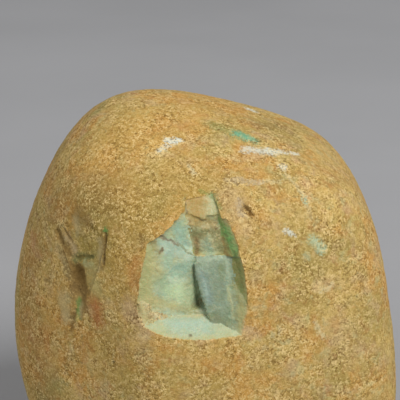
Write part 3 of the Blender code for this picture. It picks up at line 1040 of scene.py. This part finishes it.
def make_whole_skin(size, material):
    skin = new_object("whole_skin", unit_ball())
    run_tree(skin, worn_skin_tree(), {"Rounding": size.rounding, "Material": material})
    raise_lumps(skin)
    skin.data.shade_smooth()
    height = (points_of(skin.data)[:, 2] - LOWEST.z) / MM
    roughen(skin, np.clip((height - BASE_EDGE) / BASE_FADE, 0, 1), SKIN_RELIEF, material)
    return skin


def make_hollow(breaks, front):
    """A block split by each of the hollow's breaks in turn, and cropped a little in front of the skin."""
    places = [Vector(BREAKS[key][2]) for key in breaks]
    shape = bmesh.new()
    bmesh.ops.create_cube(shape, size=HOLLOW_BLANK * MM)
    bmesh.ops.translate(shape, verts=shape.verts, vec=spot(sum(places, Vector()) / len(places)))
    for key in breaks:
        bearing, tilt, place = BREAKS[key]
        split_off(shape, spot(place), facing(bearing, tilt))
    bearing, tilt, place = BLANK_FRONTS[front]
    split_off(shape, spot(place), -facing(bearing, tilt))
    bmesh.ops.recalc_face_normals(shape, faces=shape.faces)
    return mesh_of(shape, "hollow")


def joined(name, meshes):
    """One object that holds several meshes."""
    shape = bmesh.new()
    for mesh in meshes:
        shape.from_mesh(mesh)
        bpy.data.meshes.remove(mesh)
    return new_object(name, mesh_of(shape, name))


def nearest_breaks(hollows, points, normals):
    """The names of the hollows' breaks, and for each point of a cutter the number of the break it lies on:
    close to it, facing into it, and not outside the hollow that the break belongs to."""
    names = sorted({key for breaks in hollows.values() for key in breaks})
    unlike = np.full((len(names), len(points)), np.inf)
    for breaks in hollows.values():
        directions = [np.array(facing(*BREAKS[name][:2])) for name in breaks]
        places = [np.array(spot(BREAKS[name][2])) for name in breaks]
        heights = [
            (points - place) @ direction / MM for place, direction in zip(places, directions)
        ]
        outside = np.maximum(-np.min(heights, axis=0), 0)
        for name, height, direction in zip(breaks, heights, directions):
            away = np.abs(height) + outside + TURNED_AWAY * (1 + normals @ direction)
            row = names.index(name)
            unlike[row] = np.minimum(unlike[row], away)
    return names, np.argmin(unlike, axis=0)


def roughen_break(thing, hollows, material):
    """Melts a group of hollows into one even mesh, and gives it the small relief of broken stone."""
    even = thing.modifiers.new("even mesh", "REMESH")
    even.mode = "VOXEL"
    even.voxel_size = BREAK_VOXEL * MM
    keep_result(thing)
    normals = np.array([normal.vector for normal in thing.data.vertex_normals])
    names, nearest = nearest_breaks(hollows, points_of(thing.data), normals)
    strengths = np.array([FACE_RELIEF.get(name, 1.0) for name in names])
    roughen(thing, strengths[nearest], BREAK_RELIEF, material)


def finish_faces(cutter, hollows, finishes):
    """Gives each face of a cutter the finish of the break that it lies on."""
    mesh = cutter.data
    slots = {key: slot for slot, group in enumerate(BREAK_FINISHES.values()) for key in group}
    mesh.materials.clear()
    for name in BREAK_FINISHES:
        mesh.materials.append(finishes[name])
    places = np.array([face.center for face in mesh.polygons])
    normals = np.array([face.normal for face in mesh.polygons])
    names, nearest = nearest_breaks(hollows, places, normals)
    chosen = np.array([slots[name] for name in names], np.int32)[nearest]
    mesh.polygons.foreach_set("material_index", chosen)


def take_out(stone, cutter):
    """Takes a cutter out of the stone. The faces that it leaves keep the cutter's material."""
    cut = stone.modifiers.new(cutter.name, "BOOLEAN")
    cut.operation = "DIFFERENCE"
    cut.solver = "MANIFOLD"
    cut.material_mode = "TRANSFER"
    cut.object = cutter
    keep_result(stone)
    bpy.data.objects.remove(cutter)


def make_boulder(size, finishes):
    skin = finishes["ochre skin"]
    whole = make_whole_skin(size, skin)
    stone = new_object("raw_boulder", whole.data.copy())
    for name, hollows in (("window", WINDOW_HOLLOWS), ("scar", SCAR_HOLLOWS)):
        cutter = joined(name, [make_hollow(breaks, name) for breaks in hollows.values()])
        roughen_break(cutter, hollows, skin)
        finish_faces(cutter, hollows, finishes)
        take_out(stone, cutter)
    values = {
        "Whole Skin": whole,
        "Material": skin,
        "Scar Material": finishes["scarred skin"],
        "Back Material": finishes["back skin"],
        "Crown Material": finishes["crown skin"],
    }
    run_tree(stone, rims_tree(), values)
    bpy.data.objects.remove(whole)
    stone.data.shade_smooth()
    stone.data.set_sharp_from_angle(angle=math.radians(CRISP_ANGLE))
    return stone


# Shader groups that the finishes share

SHARED = {}


def shared_group(maker):
    """A shader node group that is built once and then used by every material."""
    if maker.__name__ not in SHARED:
        SHARED[maker.__name__] = maker()
    return SHARED[maker.__name__]


def use(tree, maker, **values):
    """Places a shared group, with its inputs set or linked by name. Returns its outputs."""
    feeds = {name.replace("_", " ").title(): value for name, value in values.items()}
    return add(tree, "ShaderNodeGroup", feeds, node_tree=shared_group(maker)).outputs


def blend(tree, mask, under, over):
    """Lays one colour over another where the mask is 1."""
    under, over = (
        colour if isinstance(colour, bpy.types.NodeSocket) else (*colour, 1)
        for colour in (under, over)
    )
    return add(tree, "ShaderNodeMix", {0: mask, 6: under, 7: over}, data_type="RGBA").outputs[2]


def clouds_group():
    """Soft patches: Spacing is how far apart they are, Cover the share that they take up, Edge how soft
    their outlines are, and Shift moves the pattern, so that two sets of patches differ."""
    tree, given, end = new_tree(
        "Clouds",
        "ShaderNodeTree",
        {"Place": "Vector", "Spacing": 10.0, "Cover": 0.5, "Edge": 0.2, "Shift": 0.0},
        {"Mask": "Float"},
    )
    shift = add(tree, "ShaderNodeCombineXYZ", {"X": given["Shift"]}).outputs[0]
    scale = maths(tree, "DIVIDE", 1.0, given["Spacing"])
    place = vectors(tree, "ADD", scaled(tree, given["Place"], scale), shift)
    value = noise_value(tree, place, 1, 3.0)
    level = maths(tree, "MULTIPLY_ADD", given["Cover"], -0.3, 0.65)
    half = maths(tree, "MULTIPLY", given["Edge"], 0.5)
    mask = ramp(tree, value, maths(tree, "SUBTRACT", level, half), maths(tree, "ADD", level, half))
    tree.links.new(mask, end.inputs["Mask"])
    return tree


def grains_group():
    """The grains of weathered stone: each has its own shade from 0 to 1 and a rounded top."""
    tree, given, end = new_tree(
        "Grains",
        "ShaderNodeTree",
        {"Place": "Vector", "Size": 0.8},
        {"Shade": "Float", "Height": "Float"},
    )
    scale = maths(tree, "DIVIDE", 1.0, given["Size"])
    place = scaled(tree, given["Place"], scale)
    aside = add(tree, "ShaderNodeTexNoise", {"Vector": place, "Scale": 0.8, "Detail": 1.0})
    warped = vectors(tree, "ADD", place, aside.outputs[1])
    small = add(tree, "ShaderNodeTexVoronoi", {"Vector": warped, "Scale": 1.0})
    large = add(tree, "ShaderNodeTexVoronoi", {"Vector": warped, "Scale": 0.5})
    dust = maths(tree, "SUBTRACT", noise_value(tree, place, 0.6, 3.0), 0.5)
    shade = maths(tree, "MULTIPLY", dust, 1.6)
    for cells, share in ((small, 0.72), (large, 0.28)):
        own = add(tree, "ShaderNodeSeparateColor", {"Color": cells.outputs["Color"]}).outputs[0]
        shade = maths(tree, "ADD", shade, maths(tree, "MULTIPLY", own, share))
    tree.links.new(shade, end.inputs["Shade"])
    height = maths(tree, "SUBTRACT", 1.0, small.outputs["Distance"])
    tree.links.new(height, end.inputs["Height"])
    return tree


def ragged_group():
    """Moves a place aside by a coarse and a fine noise, so that marks made from it have ragged outlines.
    Spacing is that of the coarse noise, and five times that of the fine one."""
    tree, given, end = new_tree(
        "Ragged",
        "ShaderNodeTree",
        {"Place": "Vector", "Spacing": 9.0, "Coarse": 3.0, "Fine": 1.2},
        {"Place": "Vector"},
    )
    place = given["Place"]
    for size, share in (("Coarse", 1), ("Fine", 0.2)):
        scale = maths(tree, "DIVIDE", 1 / share, given["Spacing"])
        place = moved_aside(tree, place, given["Place"], scale, given[size])
    tree.links.new(place, end.inputs["Place"])
    return tree


def mark_group():
    """A streak whose soft edge breaks up into grains: Grain is a noise, and Breakup how much it does."""
    tree, given, end = new_tree(
        "Mark",
        "ShaderNodeTree",
        {
            "Place": "Vector",
            "From": "Vector",
            "To": "Vector",
            "Half Width": 1.0,
            "Taper": 1.0,
            "Edge": 0.5,
            "Grain": 0.5,
            "Breakup": 0.8,
        },
        {"Mask": "Float"},
    )
    inner = maths(tree, "SUBTRACT", 1.0, maths(tree, "MULTIPLY", given["Edge"], 0.5))
    feeds = {name: given[name] for name in ("Place", "From", "To", "Taper", "Edge")}
    feeds["Half Width"] = maths(tree, "DIVIDE", given["Half Width"], inner)
    streak = add(tree, "ShaderNodeGroup", feeds, node_tree=shared_group(streak_group))
    mask = streak.outputs["Mask"]
    inside = maths(tree, "SUBTRACT", 1.0, mask)
    band = maths(tree, "MULTIPLY", maths(tree, "MULTIPLY", mask, inside), 4.0)
    middle = maths(tree, "SUBTRACT", given["Grain"], 0.5)
    broken = maths(tree, "MULTIPLY", middle, maths(tree, "MULTIPLY", given["Breakup"], NOISE_SPAN))
    total = maths(tree, "ADD", mask, maths(tree, "MULTIPLY", band, broken), clamp=True)
    tree.links.new(total, end.inputs["Mask"])
    return tree


def rind_group():
    """How much of the weathered rind is left on a break: 1 at the skin, and 0 deeper than Thickness."""
    tree, given, end = new_tree(
        "Rind",
        "ShaderNodeTree",
        {"Place": "Vector", "Thickness": 1.0, "Raggedness": 1.0},
        {"Mask": "Float"},
    )
    depth = add(tree, "ShaderNodeAttribute", attribute_name=DEPTH).outputs["Fac"]
    middle = maths(tree, "SUBTRACT", noise_value(tree, given["Place"], 2.2, 3.0), 0.5)
    uneven = maths(tree, "MULTIPLY", middle, given["Raggedness"])
    uneven = maths(tree, "MULTIPLY", uneven, NOISE_SPAN)
    mask = ramp(tree, maths(tree, "ADD", depth, uneven), given["Thickness"], 0.0)
    tree.links.new(mask, end.inputs["Mask"])
    return tree


def cloud_over(tree, colour, place, over, spacing, cover, edge, strength, shift):
    """Lays one set of clouds of another colour over a colour."""
    clouds = use(
        tree, clouds_group, place=place, spacing=spacing, cover=cover, edge=edge, shift=shift
    )
    return blend(tree, maths(tree, "MULTIPLY", clouds["Mask"], strength), colour, over)


def paint(tree, colour, place, grain, marks, breakup, flatten=1.0):
    """Paints each of the named marks over a colour. Flatten is how much of a mark's distance from front
    to back counts: 1 for all of it, and little where marks are laid on rough faces from the front."""
    squash = Vector((1, flatten, 1))
    place = vectors(tree, "MULTIPLY", place, squash)
    for tint, start, stop, half_width, taper, edge, strength in marks.values():
        start, stop = (on_skin(*end) if len(end) == 2 else Vector(end) for end in (start, stop))
        feeds = {
            "Place": place,
            "From": start * squash,
            "To": stop * squash,
            "Half Width": half_width,
            "Taper": taper,
            "Edge": edge,
            "Grain": grain,
            "Breakup": breakup,
        }
        mark = add(tree, "ShaderNodeGroup", feeds, node_tree=shared_group(mark_group))
        mask = maths(tree, "MULTIPLY", mark.outputs["Mask"], strength)
        colour = blend(tree, mask, colour, TINTS[tint])
    return colour


def speckle(tree, colour, place, shade, strength):
    """Pale and brown grains over a colour, in stronger and weaker patches."""
    patches = ramp(tree, noise_value(tree, place, PATCH_SPACING, 3.0), 0.35, 0.65)
    uneven = maths(tree, "MULTIPLY_ADD", patches, PATCH_GAIN, PATCH_LOW)
    strength = maths(tree, "MULTIPLY", uneven, strength)
    for tint, (low, high) in GRAIN_SHADES.items():
        mask = maths(tree, "MULTIPLY", ramp(tree, shade, low, high), strength)
        colour = blend(tree, mask, colour, TINTS[tint])
    return colour


def weathered_group():
    """The weathered skin: ochre and golden clouds, olive, orange, pink and rusty patches, and grains."""
    tree, given, end = new_tree(
        "Weathered",
        "ShaderNodeTree",
        {"Place": "Vector", "Ochre": "Color", "Golden": "Color", "Orange": "Color", "Olive": "Color"},
        {"Colour": "Color", "Shade": "Float", "Height": "Float"},
    )
    place = given["Place"]
    ragged = use(tree, ragged_group, place=place)["Place"]
    grain = noise_value(tree, place, 1.5, 3.0)
    grains = use(tree, grains_group, place=place)
    golden = use(tree, clouds_group, place=ragged, spacing=13, edge=0.3, shift=1)["Mask"]
    colour = blend(tree, golden, given["Ochre"], given["Golden"])
    for tint, *cloud in SKIN_CLOUDS:
        over = given[tint] if tint in given else TINTS[tint]
        colour = cloud_over(tree, colour, ragged, over, *cloud)
    colour = paint(tree, colour, ragged, grain, BROAD_MARKS, BROAD_BREAKUP)
    height = maths(tree, "ADD", grains["Height"], maths(tree, "MULTIPLY", grain, 1.5))
    for name, value in (("Colour", colour), ("Shade", grains["Shade"]), ("Height", height)):
        tree.links.new(value, end.inputs[name])
    return tree


# Finishes


def new_finish(name, **constants):
    """A material with its shader. Its place is in millimetres from the heart of the boulder."""
    material = bpy.data.materials.new(name)
    material.use_nodes = True
    tree = material.node_tree
    shader = tree.nodes["Principled BSDF"]
    for socket, value in constants.items():
        shader.inputs[socket.replace("_", " ")].default_value = value
    point = add(tree, "ShaderNodeTexCoord").outputs["Object"]
    place = scaled(tree, vectors(tree, "SUBTRACT", point, HEART), 1 / MM)
    return material, tree, shader, place


def bump(tree, shader, height, distance):
    node = add(tree, "ShaderNodeBump", {"Height": height, "Distance": distance * MM, "Strength": 1.0})
    tree.links.new(node.outputs[0], shader.inputs["Normal"])


def roughness_from(tree, shader, value, **span):
    """Sets the roughness from a value, spread from one span of numbers to another."""
    feeds = {name.replace("_", " ").title(): limit for name, limit in span.items()}
    node = add(tree, "ShaderNodeMapRange", {"Value": value, **feeds})
    tree.links.new(node.outputs["Result"], shader.inputs["Roughness"])


def weathered(tree, place, look):
    """The weathered skin in a material, in the colours of the skin's look."""
    colours = {name: (*getattr(look, name), 1) for name in ("ochre", "golden", "orange", "olive")}
    return use(tree, weathered_group, place=place, **colours)


def ochre_skin(name, look, marks, breakup=SKIN_BREAKUP, smeared=False):
    """The weathered skin with its marks. Smeared marks lie over the grains, and hide them."""
    material, tree, shader, place = new_finish(name, Specular_IOR_Level=0.15)
    skin = weathered(tree, place, look)
    ragged = use(tree, ragged_group, place=place, spacing=5, coarse=1.6, fine=1.0)["Place"]
    grain = noise_value(tree, place, 0.9, 3.0)
    colour = skin["Colour"]
    if not smeared:
        colour = paint(tree, colour, ragged, grain, marks, breakup)
    colour = speckle(tree, colour, place, skin["Shade"], SKIN_SPECKLE)
    if smeared:
        colour = paint(tree, colour, ragged, grain, marks, breakup)
    tree.links.new(colour, shader.inputs["Base Color"])
    roughness_from(tree, shader, skin["Shade"], to_min=0.88, to_max=0.74)
    bump(tree, shader, skin["Height"], 0.12)
    return material


def veined(tree, colour, place):
    """Lays a net of pale veins over a colour."""
    cells = add(
        tree,
        "ShaderNodeTexVoronoi",
        {"Vector": place, "Scale": VEIN_SCALE},
        feature="DISTANCE_TO_EDGE",
    )
    line = ramp(tree, cells.outputs["Distance"], 0.07, 0.0)
    vein = maths(tree, "MULTIPLY", line, VEIN_STRENGTH)
    return blend(tree, vein, colour, TINTS["frost"])


def rinded(tree, colour, place, look, thickness):
    """Lays the straw stain and then the weathered rind over a break, along the skin."""
    deep = thickness * STAIN_REACH
    stain = use(tree, rind_group, place=place, thickness=deep, raggedness=1.6)["Mask"]
    colour = blend(tree, maths(tree, "MULTIPLY", stain, STAIN_STRENGTH), colour, TINTS["straw"])
    edge = use(tree, rind_group, place=place, thickness=thickness, raggedness=0.5)["Mask"]
    skin = weathered(tree, place, look)
    crust = speckle(tree, skin["Colour"], place, skin["Shade"], SKIN_SPECKLE)
    return blend(tree, edge, colour, crust)


def jade(name, base, clouds, marks, look, rind=1.0, speckles=0.12, roughness=0.5):
    """Broken jade: a base colour with clouds of other tints, pale veins, named marks, and the stained rind
    along the skin. Clouds are: tint, spacing, cover, edge, strength."""
    material, tree, shader, place = new_finish(
        name, Subsurface_Weight=0.12, Subsurface_Scale=0.003
    )
    ragged = use(tree, ragged_group, place=place, spacing=5, coarse=1.3, fine=0.4)["Place"]
    grain = noise_value(tree, place, 1.3, 3.0)
    grains = use(tree, grains_group, place=place, size=0.9)
    colour = base
    for number, (tint, *cloud) in enumerate(clouds):
        colour = cloud_over(tree, colour, ragged, TINTS[tint], *cloud, 7.0 * number + 3)
    colour = veined(tree, colour, ragged)
    colour = paint(tree, colour, ragged, grain, marks, JADE_BREAKUP, FRONT_FLATTEN)
    colour = speckle(tree, colour, place, grains["Shade"], speckles)
    colour = rinded(tree, colour, place, look, rind)
    colour = paint(tree, colour, ragged, grain, PEAK_MARKS, JADE_BREAKUP)
    tree.links.new(colour, shader.inputs["Base Color"])
    roughness_from(
        tree,
        shader,
        grain,
        from_min=0.3,
        from_max=0.7,
        to_min=roughness - 0.1,
        to_max=roughness + 0.15,
    )
    height = maths(tree, "ADD", grain, maths(tree, "MULTIPLY", grains["Height"], 0.3))
    bump(tree, shader, height, 0.3)
    return material


def make_finishes(skin, stone):
    """Every finish of the boulder, by its name."""
    made = [
        ochre_skin("ochre skin", skin, {**SKIN_MARKS, **SHARED_MARKS}),
        ochre_skin("back skin", skin, BACK_MARKS),
        ochre_skin("crown skin", skin, {**CROWN_MARKS, **SHARED_MARKS}),
        ochre_skin("scarred skin", skin, SCAR_MARKS, SCAR_BREAKUP, smeared=True),
    ]
    for name, (base, marks, clouds, settings) in BROKEN_STONE.items():
        colour = TINTS[base] if base in TINTS else getattr(stone, base)
        made.append(jade(name, colour, clouds, marks, skin, **settings))
    return {material.name: material for material in made}


def floor_finish(colour):
    material, tree, shader, place = new_finish("pale floor", Roughness=0.85)
    shade = use(tree, clouds_group, place=place, spacing=260, edge=0.5)["Mask"]
    darker = [value * FLOOR_SHADE for value in colour]
    tree.links.new(blend(tree, shade, darker, tuple(colour)), shader.inputs["Base Color"])
    return material


# The stage


def make_floor(stage):
    shape = bmesh.new()
    bmesh.ops.create_circle(shape, cap_ends=True, segments=FLOOR_SIDES, radius=FLOOR_RADIUS)
    floor = new_object("floor", mesh_of(shape, "floor"))
    floor.location = (0, 0, LOWEST.z)
    floor.data.materials.append(floor_finish(stage.floor_colour))


def make_lights(stage):
    world = bpy.data.worlds.new("soft room")
    bpy.context.scene.world = world
    world.use_nodes = True
    sky = world.node_tree.nodes["Background"]
    sky.inputs["Color"].default_value = (1, 1, 1, 1)
    sky.inputs["Strength"].default_value = stage.room_light
    for name, (bearing, tilt, away, size) in LIGHTS.items():
        lamp = bpy.data.lights.new(name, "AREA")
        lamp.shape = "DISK"
        lamp.size = size
        lamp.energy = getattr(stage, name.replace(" ", "_"))
        thing = new_object(name, lamp)
        thing.location = HEART + facing(bearing, tilt) * away
        thing.rotation_euler = (HEART - thing.location).to_track_quat("-Z", "Y").to_euler()


def make_camera():
    target = spot(CAMERA_TARGET)
    lens = bpy.data.cameras.new("camera")
    lens.sensor_width = SENSOR_WIDTH
    lens.lens = SENSOR_WIDTH * CAMERA_DISTANCE / FRAME_WIDTH
    camera = new_object("camera", lens)
    camera.location = target + facing(0, CAMERA_TILT) * CAMERA_DISTANCE * MM
    camera.rotation_euler = (target - camera.location).to_track_quat("-Z", "Y").to_euler()
    bpy.context.scene.camera = camera


# The add-on


class BoulderSize(bpy.types.PropertyGroup):
    """Sizes of the boulder that may be changed."""

    rounding: bpy.props.FloatProperty(
        name="Rounding",
        description="How tightly one worn face turns into the next",
        default=ROUNDING,
        min=2,
        max=30,
    )


def colour_property(name, description, default):
    return bpy.props.FloatVectorProperty(
        name=name, description=description, subtype="COLOR", default=default, min=0, max=1
    )


class SkinLook(bpy.types.PropertyGroup):
    """Colours of the weathered skin."""

    ochre: colour_property("Ochre", "Main colour of the skin", (0.47, 0.305, 0.090))
    golden: colour_property("Golden", "Lighter colour of the skin", (0.58, 0.40, 0.125))
    orange: colour_property("Orange", "Colour of the warm patches", (0.56, 0.27, 0.06))
    olive: colour_property("Olive", "Colour of the dull green patches", (0.35, 0.265, 0.07))


class JadeLook(bpy.types.PropertyGroup):
    """Colours of the broken jade."""

    mint: colour_property("Mint", "Main colour of the left break", (0.42, 0.51, 0.29))
    pale: colour_property("Pale", "Main colour of the sloping floor", (0.345, 0.42, 0.268))
    slab: colour_property("Slab", "Main colour of the standing slab", (0.22, 0.28, 0.165))
    green: colour_property("Green", "Main colour of the wall on the right", (0.26, 0.35, 0.11))


def power_property(name, description, default):
    return bpy.props.FloatProperty(
        name=name, description=description, default=default, min=0, unit="POWER"
    )


class StageLook(bpy.types.PropertyGroup):
    """The floor and the lights."""

    floor_colour: colour_property("Floor", "Colour of the plain floor", (0.40, 0.40, 0.41))
    room_light: bpy.props.FloatProperty(
        name="Room Light",
        description="Brightness of the even light from all round",
        default=0.36,
        min=0,
    )
    key_light: power_property("Key Light", "Power of the soft light from the front right", 124)
    fill_light: power_property("Fill Light", "Power of the soft light from the front left", 32)


class JADE_OT_boulder(bpy.types.Operator):
    """Make the worn boulder with its broken window"""

    bl_idname = "jade.boulder"
    bl_label = "Make Boulder"

    def execute(self, context):
        finishes = make_finishes(context.scene.skin_look, context.scene.jade_look)
        stone = make_boulder(context.scene.boulder_size, finishes)
        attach(stone, BODY)
        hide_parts(NODE)
        return {"FINISHED"}


class JADE_OT_stage(bpy.types.Operator):
    """Make the floor, the lights and the camera"""

    bl_idname = "jade.stage"
    bl_label = "Make Stage"

    def execute(self, context):
        stage = context.scene.stage_look
        make_floor(stage)
        make_lights(stage)
        make_camera()
        context.scene.view_settings.view_transform = "Standard"
        return {"FINISHED"}


class JADE_PT_boulder(bpy.types.Panel):
    """Lists what the add-on makes"""

    bl_label = "Raw Jade Boulder"
    bl_space_type = "VIEW_3D"
    bl_region_type = "UI"
    bl_category = "Boulder"

    def draw(self, context):
        for look in LOOKS:
            group = getattr(context.scene, look)
            for name in group.__annotations__:
                self.layout.prop(group, name)
        for operator in (JADE_OT_boulder, JADE_OT_stage):
            self.layout.operator(operator.bl_idname)


LOOKS = {
    "boulder_size": BoulderSize,
    "skin_look": SkinLook,
    "jade_look": JadeLook,
    "stage_look": StageLook,
}
CLASSES = (*LOOKS.values(), JADE_OT_boulder, JADE_OT_stage, JADE_PT_boulder)


def register():
    for item in CLASSES:
        bpy.utils.register_class(item)
    for name, look in LOOKS.items():
        setattr(bpy.types.Scene, name, bpy.props.PointerProperty(type=look))


def unregister():
    for name in LOOKS:
        delattr(bpy.types.Scene, name)
    for item in reversed(CLASSES):
        bpy.utils.unregister_class(item)


def main():
    register()
    bpy.ops.jade.boulder()
    bpy.ops.jade.stage()


if __name__ == "__main__":
    main()
